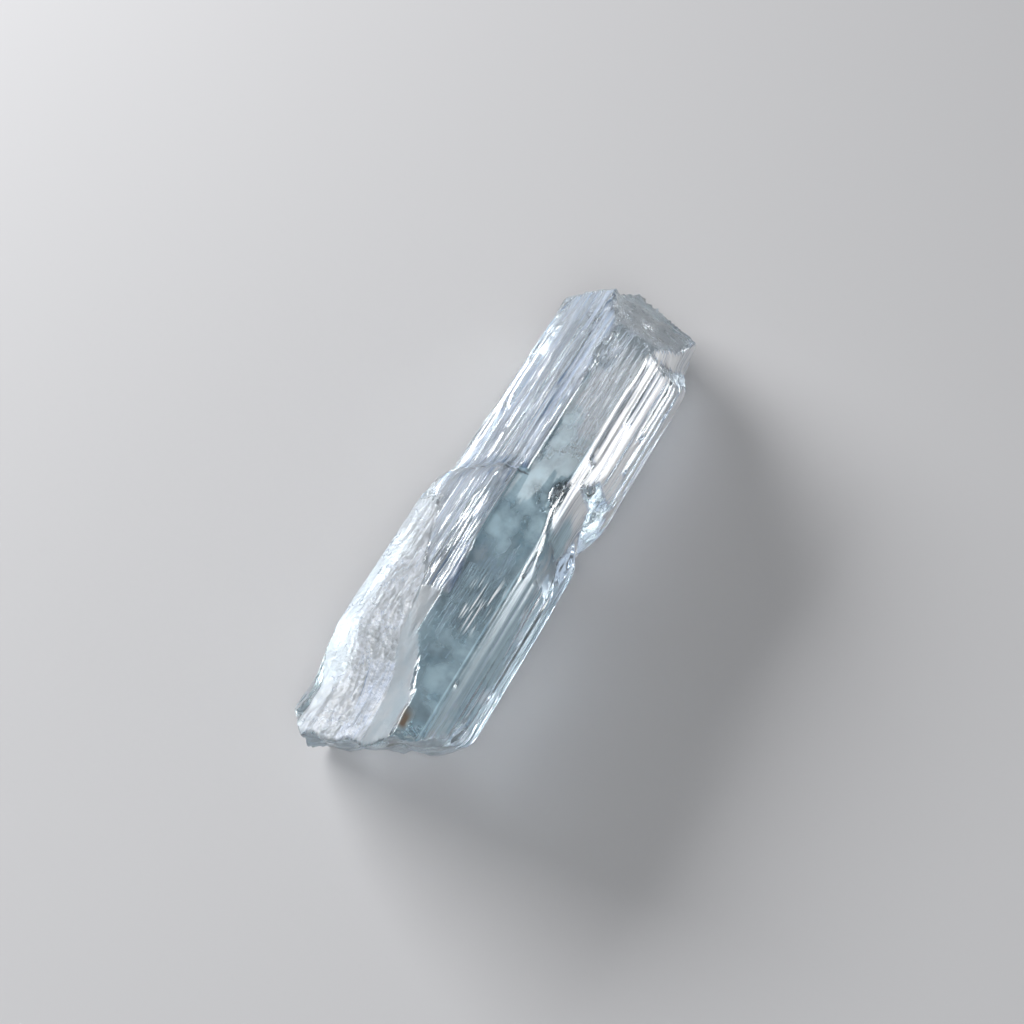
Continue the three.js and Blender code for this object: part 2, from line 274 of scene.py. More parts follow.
def roundEndedCore(plan):
    # a thin rod along the growth axis, in even rings and columns
    deselectAll()
    bpy.ops.mesh.primitive_uv_sphere_add(
        segments=plan["columns"], ring_count=2 * plan["ringsAtEnd"] + 1, radius=plan["coreRadius"],
        location=(0, 0, plan["axisHeight"] * mm), rotation=(0, math.pi / 2, 0))
    core = bpy.context.object
    bpy.ops.object.transform_apply(location=True, rotation=True, scale=True)
    mesh = core.data
    for side, shift in ((1, plan["coreTo"]), (-1, plan["coreFrom"])):
        selectPoints(core, [vertex.co.x * side > 0 for vertex in mesh.vertices])
        bpy.ops.transform.translate(value=(shift, 0, 0))
    # only the edges between the two halves are still long
    bpy.ops.mesh.select_mode(type="EDGE")
    bpy.ops.mesh.select_all(action="DESELECT")
    bpy.ops.object.mode_set(mode="OBJECT")
    for edge in mesh.edges:
        a, b = (mesh.vertices[i].co.x for i in edge.vertices)
        edge.select = abs(a - b) > 10 * mm
    bpy.ops.object.mode_set(mode="EDIT")
    bpy.ops.mesh.subdivide(number_cuts=plan["ringsAlong"])
    bpy.ops.object.mode_set(mode="OBJECT")
    # the two rings beside the ledge close in on it, which keeps its step sharp
    spacing = (plan["coreTo"] - plan["coreFrom"]) / (plan["ringsAlong"] + 1)
    for vertex in mesh.vertices:
        off = vertex.co.x - plan["ledgeAt"]
        if abs(off) < 0.999 * spacing:
            vertex.co.x = plan["ledgeAt"] + math.copysign(plan["ledgeWidth"], off)
    return core


solid = mergedCopy("solidCopy")
crystal = roundEndedCore(bodyPlan)
crystal.name = "topazBody"
coreX = placesOf(crystal.data)[:, 0] * mm
margin = bodyPlan["endMargin"]
onLength = (coreX > bodyPlan["coreFrom"] - margin) & (coreX < bodyPlan["coreTo"] + margin)
applyModifier(crystal, "SHRINKWRAP", target=solid, wrap_method="PROJECT",
              use_positive_direction=True, use_negative_direction=False)
# the length between the rounded ends is smoothed all round, and the frosted break a little beyond it,
# so they are calmer than the coarse solid
px, py, pz = placesOf(crystal.data).T
calm = (px > bodyPlan["calmFrom"]) & (px < bodyPlan["calmTo"]) & (pz > 7)
calm &= py > edgeAt(px, bodyPlan["calmEdge"])
selectPoints(crystal, onLength | calm)
bpy.ops.mesh.vertices_smooth(factor=0.5, repeat=10)
bpy.ops.object.mode_set(mode="OBJECT")
places = placesOf(crystal.data)
facing = np.array([solid.closest_point_on_mesh(Vector(p * mm))[2] for p in places])
print("body wrapped on the solid:", len(places), "points")

# the faces, told apart by which way they look and where they lie
x, y, z = places.T
nx, ny, nz = facing.T
around = np.degrees(np.arctan2(-y, z - bodyPlan["axisHeight"]))
girth = np.radians(around) * bodyPlan["girthRadius"]  # the same in millimetres round the crystal
turned = np.degrees(np.arctan2(-ny, nz))  # which way the face looks, in the same degrees
resting = (nz < -0.98) & (z < 0.4)
wedge = (np.abs(nx + 0.057) < 0.02) & (np.abs(turned + 18) < 4) & (x < 1)
prism = ((np.abs(nx) < 0.03) | wedge) & ~resting
wander = x + 0.7 * lumps(places, 1.5, 50) + 0.3 * lumps(places, 0.6, 51)
onSide = (x < -3) & (around > -100) & (nz > 0.2) & (nx > -0.6)
frosted = onSide & (around < edgeAt(wander, bodyPlan["crackEdge"]))
facet = onSide & ~frosted & (around < edgeAt(wander, bodyPlan["frostEdge"]))
nearBreak = (nx < -0.6) & (x < -18)
etchedEnd = (nx > 0.45) & (x > 14)
whole = prism & ~frosted & ~facet
upperLeft = whole & (around > -95) & ((around < np.where(x < 0.6, 3, 10.5)) | wedge)
upperLeft &= (x > -14) | (around < -20)
rightSide = whole & (turned >= 32) & (turned < 120) & (around > 30)
# towards the etched end the right side is painted whiter still: painted light, for the window light that shines
# out through it
paintedLightEnd = rightSide * smoothStep(x + 1.5 * lumps(places, (2.5, 0.8, 0.8), 82), -5, 1)
# the level face on top is grown smooth
clearTop = whole & ~upperLeft & (np.abs(z - 14) < 0.35) & (around > 5) & (around < 48)
level = bodyPlan["topHeight"]
places[:, 2] = np.where(clearTop, level + bodyPlan["topRelief"] * (z - level), z)
facing[clearTop] = (0, 0, 1)
# beside it, down the rounded edge to the facet, the striations fade out
seamBand = whole & ~upperLeft & ~clearTop & (around > -20) & (around < 30) & (x < 0)
smoothBand = clearTop | seamBand
low = z < 5
broken = nearBreak | (np.abs(nx) >= 0.03) & ~frosted & ~facet & ~etchedEnd & ~resting

lift = np.zeros(len(places))
*shares, shareElsewhere = bodyPlan["striationShares"]
share = np.select([smoothBand, low, rightSide], shares, shareElsewhere)
for salt, (pitch, length, height) in enumerate(bodyPlan["striations"]):
    lift += np.where(prism, height * share * lanes(girth, x, pitch, length, 10 + 3 * salt), 0)
for area, name, salt in ((frosted, "hackle", 30), (broken, "shellBreak", 35)):
    for layer, ((long, wide), height) in enumerate(bodyPlan[name]):
        lift += np.where(area, height * lumps(places, (long, wide, wide), salt + layer), 0)
for salt, ((long, wide), height) in enumerate(bodyPlan["dimples"]):
    pits = lumps(places, (long, wide, wide), 40 + salt)
    lift += np.where(etchedEnd, height * (0.4 - 1.2 * np.abs(pits)), 0)
    lift += np.where(facet, 0.1 * height * pits, 0)
# the ridge between the upper left face and the clear one is chipped all along
ridgeAt, wandering, reach = bodyPlan["ridge"]
ridge = np.abs(around - ridgeAt - wandering * lumps(places, (3, 50, 50), 55)) / reach
chips = smoothStep(lumps(places, (0.9, 0.5, 0.5), 56), 0.05, 0.5) * fadeOut(ridge, 0.5, 1) * (x > 1)
lift -= bodyPlan["chipDepth"] * chips
jitter = 0.35 * np.stack([lumps(places, 0.9, 57), lumps(places, 0.9, 58), lumps(places, 0.7, 59)], 1)
crackDistance = nearPath(places + jitter, bodyPlan["crack"])
lift -= bodyPlan["crackDepth"] * fadeOut(crackDistance, 0.05, 0.3) * (nz > 0)
lift *= smoothStep(z, 0.0, 0.8)
places = places + facing * lift[:, None]
places[:, 2] = np.maximum(places[:, 2], 0)
moveTo(crystal.data, places)
makeActive(crystal)
bpy.ops.object.shade_smooth()
print("body striated and roughened")


def ovals(spots, strongest, ragged, full, none):
    # the strongest of several soft ovals, given by centre, reach and strength
    for (atX, atY), (reachX, reachY), strength in spots:
        away = np.hypot((x - atX) / reachX, (y - atY) / reachY) + ragged
        strongest = np.maximum(strongest, strength * fadeOut(away, full, none))
    return strongest


# the real stains, and the painted blue-white sheen, as masks
stainAndSheen = {name: fadeOut(nearPath(places + wandering * jitter, path), full, none)
         for name, (path, wandering, full, none) in bodyPlan["stainsAndSheen"].items()}
elsewhere = edgeAt(x, bodyPlan["hazeElsewhere"])
haze = ovals(bodyPlan["haze"], elsewhere, 0.35 * lumps(places, 2.5, 80), 0.35, 1.25)
whiteLines = ovals(bodyPlan["lines"], np.zeros(len(places)), 0, 0.6, 1.2)
flecks = smoothStep(lumps(places, 0.7, 61) + 0.5 * lumps(places, 0.35, 62), 0.35, 0.7)
# each finish is a mask on the body: its highest value, and how much of it every area has
finishMasks = {
    "frost": (1, [(frosted, 1.0), (facet, 0.1), (nearBreak, 0.35), (etchedEnd, 0.1),
                  (etchedEnd * flecks, 0.6), (chips, 0.5)]),
    # on the upper left and the right side the milk is real white streaks laid on thick as painted light: a
    # painted reflection of the window on the upper left, a painted glow on the right
    "milk": (2, [(upperLeft & (x > 0.6), 0.85), (upperLeft & (x <= 0.6), 0.75), (rightSide, 0.8),
                 (paintedLightEnd, 1.2), (frosted & (x < -22) & (around > -45), 0.7), (prism & (z < 7), 0.1),
                 (stainAndSheen["bluePatch"], 0.4)]),
    # painted light: opaque white on the right side, and a little on the facet, for the window light shining out
    # through them
    "paintedGlow": (1, [(rightSide, 0.7), (paintedLightEnd, 0.3), (facet, 0.3)]),
    "grain": (1, [(prism & low, 0.05), (rightSide & ~low, 0.08), (prism & ~low & ~rightSide, 0.3),
                  (smoothBand, -0.3)]),
    "dull": (1, [(seamBand, 1.0), (facet, 1.0)]),
    "etch": (1, [(etchedEnd, 1.0)]),
    "ledge": (1, [((x > -1) & (x < 2) & (around > -85) & (around < 13) & (nx > -0.1), 1.0)]),
    "haze": (1, [(haze * clearTop, 1.0), (haze * (rightSide - paintedLightEnd), 0.6), (facet, 0.1),
                 # the blue patch here is a painted sheen
                 (stainAndSheen["bluePatch"], 1.2)]),
    "lines": (1, [(whiteLines * clearTop, 1.0)]),
    "rust": (1, [(stainAndSheen["rust"] * (0.75 + 0.4 * lumps(places, 0.5, 60)), 1.0), (stainAndSheen["rustSeam"], 0.3),
                 (stainAndSheen["rustSpot"], 0.4)]),
    "crack": (1, [(fadeOut(crackDistance, 0.02, 0.22) * (nz > 0), 1.0)]),
    "girth": (100, [(girth, 1.0)]),
}
for name, (top, parts) in finishMasks.items():
    addMask(crystal.data, name, sum(strength * area for area, strength in parts), top)
print("body finishes laid out")

# Topaz, natural surface: clear, with bright thin streaks where the striations are deep, and white
# and hackly where it broke. The inside has a faint blue of its own.
topazFinish = {
    "ior": 1.62,
    "polish": 0.03,  # roughness of a clean face
    "inside": "9AD0DC",
    "insideDensity": 9.5,
    "clear": "F6F9FA",
    # the streaks' white, with a blue tint that is a painted reflection of blue sky light
    "streakWhite": "8FB0DC",
    # patterns of straight streaks: length and width in millimetres, detail, and a shift of their own
    "streakPatterns": {"broad": (60, 1.0, 2, 0), "fine": (40, 0.32, 0, 5), "hair": (24, 0.45, 0, 9),
                       "bundle": (9, 2.2, 1, 13), "short": (3.2, 0.2, 0, 31), "ledgeEdge": (1, 0.7, 2, 21)},
    # patterns of lumps: how many to the millimetre, and detail
    "lumpPatterns": {"patch": (0.4, 2), "grit": (2, 3), "vein": (0.55, 3), "cotton": (0.36, 4)},
    "ledgeWaver": 0.5,  # in millimetres along
    # thin lines where a pattern has one value: the pattern, that value, how far from it the line is
    # full and gone, and its strength. The ledge's rim is a bright line, white chips and a painted highlight
    # at once, with a line of painted shade under it
    "thinLines": {"slitLines": ("hair", 0.5, 0.012, 0.05, 1), "crackLines": ("vein", 0.5, 0.003, 0.018, 0.8),
                  "rimChipAndHighlightLine": ("ledgeEdge", 0.62, 0.05, 0.13, 1),
                  "ledgeShadeLine": ("ledgeEdge", 0.36, 0.06, 0.14, 1)},
    # contrast: the layer, its low and its high value, and what it becomes there
    "ramps": {"broadStreaks": ("broad", 0.44, 0.54, 0, 1), "fineStreaks": ("fine", 0.4, 0.6, 0, 1),
              "bundles": ("bundle", 0.38, 0.5, 0, 1), "shortLines": ("short", 0.58, 0.68, 0, 1),
              "crackPatches": ("patch", 0.47, 0.55, 0, 1), "frostPatches": ("patch", 0.38, 0.6, 0.6, 1),
              "milkPatches": ("patch", 0.35, 0.65, 0.04, 0.2), "frostGrit": ("grit", 0.3, 0.7, 0.1, 0.56),
              "hazeCotton": ("cotton", 0.3, 0.66, 0.2, 0.85), "anyFrost": ("frost", 0, 0.3, 0, 1)},
    "slitsInGlow": -0.75,  # so much less of the slits where the side has its painted glow
    "milkInStreaks": 0.42,
    "milkInSlits": 0.5,
    "thinCloud": 0.15,  # a cloud of this strength has its full colour
    # layers that are multiplied with each other
    "products": {"slits": ("slitLines", "bundles", "slitShare"), "whiteLines": ("shortLines", "lines"),
                 "cracks": ("crackLines", "frost", "crackPatches"), "cloudy": ("haze", "hazeCotton"),
                 "frosting": ("frost", "frostGrit", "frostPatches"), "rimChipAndHighlight": ("rimChipAndHighlightLine", "ledge"),
                 "ledgeShade": ("ledgeShadeLine", "ledge"), "milkStreaks": ("milk", "streaks"),
                 "milkSlits": ("milk", "slits")},
    # how opaque each layer makes the surface, which colour it has, and how much rougher it is
    "opaque": {"cloudy": 1.0, "paintedGlow": 0.4, "whiteLines": 0.8, "rust": 0.55, "cracks": 0.3, "rimChipAndHighlight": 0.5,
               "cracksAndShade": 0.6},
    # frost is white with a lavender tint that is a painted reflection of the window light; the white of the
    # painted glow is painted light
    "whites": {"anyFrost": "B4C0D6", "paintedGlow": "F2F5F8"},
    # the dark grey tint is for the real cracks and for the painted shade under the ledge
    "tints": {"anyCloud": "B4CEDA", "whiteLines": "F2F5F8", "milkSlits": "466A92", "cracksAndShade": "737D86",
              "rust": "7A6A5A"},
    "rougher": {"frost": 0.36, "milkStreaks": 0.1, "paintedGlow": 0.2, "milkSlits": 0.3, "dull": 0.45},
    # heights of the fine relief: of its streaks and grit, and of the etched end's grit
    "streakHeight": 0.6,
    "gritHeight": 2.5,
    "etchHeight": 1.4,
    "reliefDepth": 0.05 * mm,
}
topaz, tree, shader = newMaterial("topazNatural", {"IOR": topazFinish["ior"]})
place = addNode(tree, "TexCoord", output="Object")
inMm = addNode(tree, "Mapping", {"Vector": place, "Scale": (1 / mm, 1 / mm, 1 / mm)})
xMm = addNode(tree, "SeparateXYZ", [inMm])
layers = {name: addNode(tree, "Attribute", output="Fac", attribute_name=name) for name in finishMasks}
for name, (length, width, detail, shift) in topazFinish["streakPatterns"].items():
    lengthwise = addNode(tree, "Math", [xMm, 1 / length], operation="MULTIPLY")
    crosswise = addNode(tree, "Math", [layers["girth"], 1 / width], operation="MULTIPLY")
    place = addNode(tree, "CombineXYZ", [lengthwise, crosswise, shift])
    layers[name] = addNode(tree, "TexNoise", {"Vector": place, "Scale": 1, "Detail": detail})
for name, (scale, detail) in topazFinish["lumpPatterns"].items():
    layers[name] = addNode(tree, "TexNoise", {"Vector": inMm, "Scale": scale, "Detail": detail})
waver = addNode(tree, "Math", [layers["ledgeEdge"], 0.5], operation="SUBTRACT")
layers["ledgeEdge"] = addNode(tree, "Math", [waver, topazFinish["ledgeWaver"], xMm], operation="MULTIPLY_ADD")
for name, (source, value, full, gone, strength) in topazFinish["thinLines"].items():
    away = addNode(tree, "Math", [layers[source], value], operation="SUBTRACT")
    away = addNode(tree, "Math", [away], operation="ABSOLUTE")
    layers[name] = addNode(tree, "MapRange", [away, full, gone, strength, 0], interpolation_type="SMOOTHSTEP")
for name, (source, *limits) in topazFinish["ramps"].items():
    layers[name] = addNode(tree, "MapRange", [layers[source], *limits], interpolation_type="SMOOTHSTEP")
layers["slitShare"] = addNode(tree, "Math", [layers["paintedGlow"], topazFinish["slitsInGlow"], 1],
                              operation="MULTIPLY_ADD")
both = addNode(tree, "Math", [layers["broadStreaks"], layers["fineStreaks"]], operation="ADD")
layers["streaks"] = addNode(tree, "Math", [both, 0.5], operation="MULTIPLY")
for name, (first, *others) in topazFinish["products"].items():
    layers[name] = layers[first]
    for other in others:
        layers[name] = addNode(tree, "Math", [layers[name], layers[other]], operation="MULTIPLY")
layers["anyCloud"] = addNode(tree, "MapRange", [layers["cloudy"], 0, topazFinish["thinCloud"], 0, 1],
                             interpolation_type="SMOOTHSTEP")
# dark lines: the real cracks, and painted shade under the ledge
layers["cracksAndShade"] = layers["ledgeShade"]
for name in ("crack", "cracks"):
    layers["cracksAndShade"] = addNode(tree, "Math", [layers["cracksAndShade"], layers[name]], operation="MAXIMUM")
# the milk of the streaks is halved in the slits, which have a milk of their own
milky = addNode(tree, "Math", [layers["streaks"], topazFinish["milkInStreaks"], layers["milkPatches"]],
                operation="MULTIPLY_ADD")
halved = addNode(tree, "Math", [layers["slits"], -0.5, 1], operation="MULTIPLY_ADD")
milky = addNode(tree, "Math", [milky, halved], operation="MULTIPLY")
milky = addNode(tree, "Math", [layers["slits"], topazFinish["milkInSlits"], milky], operation="MULTIPLY_ADD")
opaque = addNode(tree, "Math", [layers["milk"], milky, layers["frosting"]], operation="MULTIPLY_ADD")
for name, amount in topazFinish["opaque"].items():
    opaque = addNode(tree, "Math", [layers[name], amount, opaque], operation="MULTIPLY_ADD")
white = linear(topazFinish["streakWhite"])
for name, tint in topazFinish["whites"].items():
    white = addNode(tree, "Mix", {0: layers[name], 6: white, 7: linear(tint)}, output=2, data_type="RGBA")
clear = linear(topazFinish["clear"])
colour = addNode(tree, "Mix", {0: opaque, 6: clear, 7: white}, output=2, data_type="RGBA")
for name, tint in topazFinish["tints"].items():
    colour = addNode(tree, "Mix", {0: layers[name], 6: colour, 7: linear(tint)}, output=2, data_type="RGBA")
roughness = topazFinish["polish"]
for name, amount in topazFinish["rougher"].items():
    roughness = addNode(tree, "Math", [layers[name], amount, roughness], operation="MULTIPLY_ADD")
relief = addNode(tree, "Math", [layers["streaks"], topazFinish["streakHeight"]], operation="MULTIPLY")
relief = addNode(tree, "Math", [relief, layers["slits"]], operation="SUBTRACT")
pitted = addNode(tree, "Math", [layers["etch"], topazFinish["etchHeight"], layers["frost"]],
                 operation="MULTIPLY_ADD")
gritty = addNode(tree, "Math", [layers["grit"], topazFinish["gritHeight"]], operation="MULTIPLY")
pitted = addNode(tree, "Math", [pitted, gritty], operation="MULTIPLY")
relief = addNode(tree, "Math", [layers["grain"], relief, pitted], operation="MULTIPLY_ADD")
surface = {
    "Transmission Weight": addNode(tree, "Math", [1, opaque], operation="SUBTRACT", use_clamp=True),
    "Base Color": colour,
    "Roughness": roughness,
    "Normal": addNode(tree, "Bump", {"Height": relief, "Distance": topazFinish["reliefDepth"], "Strength": 1}),
}
for socket, value in surface.items():
    tree.links.new(value, shader.inputs[socket])
absorb = addNode(tree, "VolumeAbsorption", {"Color": linear(topazFinish["inside"]),
                                            "Density": topazFinish["insideDensity"]})
tree.links.new(absorb, tree.nodes["Material Output"].inputs["Volume"])
crystal.data.materials.clear()
crystal.data.materials.append(topaz)
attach(crystal, "root")
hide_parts("topaz_crystal")
print("body material made")


def depthInside(places):
    # how far each point is below the surface, in millimetres. Negative is outside
    deep = []
    for p in places:
        point = Vector(p * mm)
        # a ray to above leaves through a face that looks upwards
        hit, _, normal, _ = solid.ray_cast(point, Vector((0.05, 0.1, 1)))
        inside = hit and normal.z > 0
        deep.append((solid.closest_point_on_mesh(point)[1] - point).length / mm * (1 if inside else -1))
    return np.array(deep)


def turnMatrix(degrees):
    return np.array(Euler([math.radians(a) for a in degrees]).to_matrix())


def turnings(count):
    # random directions, as rotation matrices
    q = dice.normal(size=(count, 4))
    q /= np.linalg.norm(q, axis=1, keepdims=True)
    w, i, j, k = q.T
    return np.stack([
        np.stack([1 - 2 * (j * j + k * k), 2 * (i * j - k * w), 2 * (i * k + j * w)], 1),
        np.stack([2 * (i * j + k * w), 1 - 2 * (i * i + k * k), 2 * (j * k - i * w)], 1),
        np.stack([2 * (i * k - j * w), 2 * (j * k + i * w), 1 - 2 * (i * i + j * j)], 1)], 1)


def scattered(plan):
    # random places round each patch's centre, as many as its share of the count
    spots = [dice.normal(size=(int(plan["count"] * share * plan["spare"]), 3)) * spread3 + centre
             for centre, spread3, share in plan["patches"]]
    return np.concatenate(spots)


def unevenSizes(plan, count):
    # random sizes, with each axis longer or shorter by itself
    return dice.uniform(*plan["size"], size=(count, 1)) * dice.uniform(*plan["uneven"], (count, 3))


def copies(name, pattern, spots, sizes, turns):
    # one mesh of many copies of a small closed pattern
    shape = placesOf(pattern.data)
    faces = [list(polygon.vertices) for polygon in pattern.data.polygons]
    points = [(turn @ (shape * size).T).T + spot for spot, size, turn in zip(spots, sizes, turns)]
    loops = [[v + len(shape) * n for v in face] for n in range(len(spots)) for face in faces]
    mesh = bpy.data.meshes.new(name)
    mesh.from_pydata(np.concatenate(points) * mm, [], loops)
    bpy.data.objects.remove(pattern, do_unlink=True)
    piece = bpy.data.objects.new(name, mesh)
    bpy.context.collection.objects.link(piece)
    return piece


def finishInside(piece, material):
    piece.data.materials.clear()
    piece.data.materials.append(material)
    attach(piece, "root")


# Fluid-filled specks: too small to see one by one, together a milky blue cloud
cloudPlan = {
    "count": 3500,
    "spare": 1.7,  # tried for each one that is kept
    "size": (0.08, 0.22),
    "uneven": (0.3, 1.4),
    "clumpedOver": -0.1,
    "depth": 0.35,
    # centre, spread and share of the specks
    "patches": [
        ((-3, -2.2, 9.5), (3.6, 2.2, 1.7), 0.4),
        ((-20, -2.6, 9.5), (4.5, 2.0, 2.0), 0.25),
        ((8, -1.5, 8.0), (5.0, 2.0, 1.8), 0.2),
        ((0, 0, 6), (14, 3.5, 2.5), 0.15),
    ],
    "surface": {"Base Color": linear("E4EFF5"), "Roughness": 0.5, "IOR": 1.0, "Transmission Weight": 0.35},
}
deselectAll()
bpy.ops.mesh.primitive_uv_sphere_add(segments=4, ring_count=2, radius=0.5 * mm)
speck = bpy.context.object
spots = scattered(cloudPlan)
clumped = lumps(spots, 2.2, 70) + 0.5 * lumps(spots, 0.9, 71) + dice.uniform(-0.5, 0.5, len(spots))
spots = spots[clumped > cloudPlan["clumpedOver"]]
spots = spots[depthInside(spots) > cloudPlan["depth"]][:cloudPlan["count"]]
sizes = unevenSizes(cloudPlan, len(spots))
cloud = copies("innerCloud", speck, spots, sizes, turnings(len(spots)))
finishInside(cloud, newMaterial("fluidInclusions", cloudPlan["surface"])[0])
print("cloud of specks:", len(spots))

# Veils: old cracks that healed into thin wavy sheets of tiny bubbles, which look like drifting milk
veilPlan = {
    "steps": 56,
    "thickness": 0.015 * mm,
    "depth": (0.2, 0.9),  # where they begin and where they are full
    "edge": (0.03, 0.5),  # the same, in shares of the half sheet
    "waves": [(2.6, 1), (1, 0.4)],  # lump size, share of the waviness
    "ragged": [(1.3, 0.14), (0.5, 0.08)],  # lump size, share of the half sheet
    "sheets": [
        # centre, size along and across, turn in degrees, waviness, thickness of the milk
        ((-3.0, -1.8, 10.2), (13, 9), (4, 3, 0), 0.6, 1.3),
        ((-1.5, -1.0, 7.6), (15, 10), (-9, -5, 8), 0.7, 1.2),
        ((-20, -3.0, 9.4), (13, 8), (6, 4, 0), 0.6, 0.9),
        ((7, -0.4, 8.6), (10, 7), (8, -12, 10), 0.6, 1.0),
    ],
    "cottonScale": (0.8 / mm, 1.1 / mm, 1.1 / mm),
    "cotton": {"Scale": 0.5, "Detail": 5, "Roughness": 0.6},
    "cottonSpread": (0.38, 0.66, 0.05, 0.62),
    "tint": "B4D6E6",
    "surface": {"Roughness": 0.3, "IOR": 1.0},
}


def sheetInside(plan, centre, size, turn, wave, milk, salt):
    # a thin wavy sheet with a ragged edge, cut off where it would leave the crystal
    deselectAll()
    bpy.ops.mesh.primitive_grid_add(x_subdivisions=plan["steps"], y_subdivisions=plan["steps"], size=1 * mm)
    sheet = bpy.context.object
    flat = placesOf(sheet.data)
    places = flat * (*size, 1)
    places[:, 2] += wave * sum(share * lumps(places, width, salt + n)
                               for n, (width, share) in enumerate(plan["waves"]))
    places = places @ turnMatrix(turn).T + centre
    deep = depthInside(places)
    ragged = 1 - np.max(np.abs(flat[:, :2]), axis=1) * 2
    ragged += sum(share * lumps(places, width, salt + 2 + n)
                  for n, (width, share) in enumerate(plan["ragged"]))
    addMask(sheet.data, "fade", milk * smoothStep(ragged, *plan["edge"]) * smoothStep(deep, *plan["depth"]), 2)
    moveTo(sheet.data, places)
    selectPoints(sheet, (deep < plan["depth"][0]) | (ragged < plan["edge"][0]))
    bpy.ops.mesh.delete(type="VERT")
    bpy.ops.object.mode_set(mode="OBJECT")
    applyModifier(sheet, "SOLIDIFY", thickness=plan["thickness"], offset=0)
    bpy.ops.object.shade_smooth()
    return sheet


sheets = [sheetInside(veilPlan, *sheet, 200 + 10 * n) for n, sheet in enumerate(veilPlan["sheets"])]
deselectAll()
for sheet in sheets:
    sheet.select_set(True)
bpy.context.view_layer.objects.active = sheets[0]
bpy.ops.object.join()
milkyVeils = bpy.context.object
milkyVeils.name = "milkyVeils"
veilMilk, tree, shader = newMaterial("milkyVeil", veilPlan["surface"])
place = addNode(tree, "TexCoord", output="Object")
place = addNode(tree, "Mapping", {"Vector": place, "Scale": veilPlan["cottonScale"]})
fade = addNode(tree, "Attribute", output="Fac", attribute_name="fade")
cotton = addNode(tree, "TexNoise", {"Vector": place, **veilPlan["cotton"]})
milky = addNode(tree, "MapRange", [cotton, *veilPlan["cottonSpread"]], interpolation_type="SMOOTHSTEP")
milky = addNode(tree, "Math", [milky, fade], operation="MULTIPLY", use_clamp=True)
clearPart = addNode(tree, "Math", [1, milky], operation="SUBTRACT")
tint = linear(veilPlan["tint"])
colour = addNode(tree, "Mix", {0: milky, 6: (1, 1, 1, 1), 7: tint}, output=2, data_type="RGBA")
tree.links.new(clearPart, shader.inputs["Transmission Weight"])
tree.links.new(colour, shader.inputs["Base Color"])
finishInside(milkyVeils, veilMilk)
print("milky veils:", len(milkyVeils.data.polygons))

# Hollow growth tubes, hair thin and dead straight along the crystal: bright hairs in the clear parts
tubePlan = {
    "count": 640,
    "width": (0.07, 0.15),
    "depth": 0.3,
    # centre, spread, share of the tubes, their shortest and longest, and how far they lean
    "patches": [
        ((-12.5, -3.6, 12.4), (2.6, 1.4, 0.6), 0.32, (0.9, 3.4), 0),
        ((13, -3.2, 10.5), (4.5, 1.6, 1.6), 0.3, (1.5, 6.0), 0),
        ((0, 0, 8.5), (13, 3.5, 2.5), 0.18, (1.0, 5.0), 0),
        ((2.6, -4.4, 11.8), (2.2, 1.3, 0.9), 0.26, (0.5, 2.2), 30),
    ],
    "surface": {"Base Color": linear("F4F8FF"), "Roughness": 0.3, "IOR": 1.4, "Transmission Weight": 0.0},
}
deselectAll()
bpy.ops.mesh.primitive_cylinder_add(vertices=6, radius=0.5 * mm, depth=1 * mm, rotation=(0, math.pi / 2, 0))
tube = bpy.context.object
bpy.ops.object.transform_apply(location=True, rotation=True, scale=True)
spots, sizes, turns = [], [], []
for centre, spread3, share, length, lean in tubePlan["patches"]:
    some = dice.normal(size=(int(tubePlan["count"] * share), 3)) * spread3 + centre
    long = dice.uniform(*length, len(some))
    thick = dice.uniform(*tubePlan["width"], len(some))
    spots.append(some)
    sizes.append(np.stack([long, thick, thick], 1))
    turns += [turnMatrix(angles) for angles in dice.uniform(-lean, lean, (len(some), 3))]
spots, sizes, turns = np.concatenate(spots), np.concatenate(sizes), np.array(turns)
ends = [spots + 0.5 * side * sizes[:, :1] * turns[:, :, 0] for side in (-1, 0, 1)]
fits = np.min([depthInside(end) for end in ends], axis=0) > tubePlan["depth"]
tubes = copies("growthTubes", tube, spots[fits], sizes[fits], turns[fits])
finishInside(tubes, newMaterial("growthTubeWalls", tubePlan["surface"])[0])
print("growth tubes:", int(fits.sum()))

# Cracks inside, where small shells of crystal came loose: they glint and bend what is behind them
cracklePlan = {
    "count": 210,
    "spare": 1,
    "size": (0.4, 1.8),
    "uneven": (0.6, 1.2),
    "depth": 1.0,
    "flatness": 0.16,
    "bend": 0.22,
    # centre, spread and share of the shells
    "patches": [
        ((3.0, -4.6, 11.6), (2.4, 1.1, 1.1), 0.55),
        ((1.2, 3.0, 10.5), (0.7, 2.2, 1.0), 0.18),
        ((22.0, -0.5, 9.5), (1.6, 2.8, 2.2), 0.27),
    ],
    "surface": {"Base Color": linear("F8FCFF"), "Roughness": 0.02, "IOR": 2.3, "Transmission Weight": 1.0},
}
deselectAll()
bpy.ops.mesh.primitive_ico_sphere_add(subdivisions=2, radius=0.5 * mm)
shell = bpy.context.object
bent = placesOf(shell.data)
lift = cracklePlan["bend"] * lumps(bent, 0.35, 90) * (0.6 + bent[:, 0])
bent[:, 2] = bent[:, 2] * cracklePlan["flatness"] + lift
moveTo(shell.data, bent)
spots = scattered(cracklePlan)
spots = spots[depthInside(spots) > cracklePlan["depth"]]
sizes = unevenSizes(cracklePlan, len(spots))
crackle = copies("crackle", shell, spots, sizes, turnings(len(spots)))
makeActive(crackle)
bpy.ops.object.shade_smooth()
finishInside(crackle, newMaterial("openCrack", cracklePlan["surface"])[0])
print("crackled shells:", len(spots))

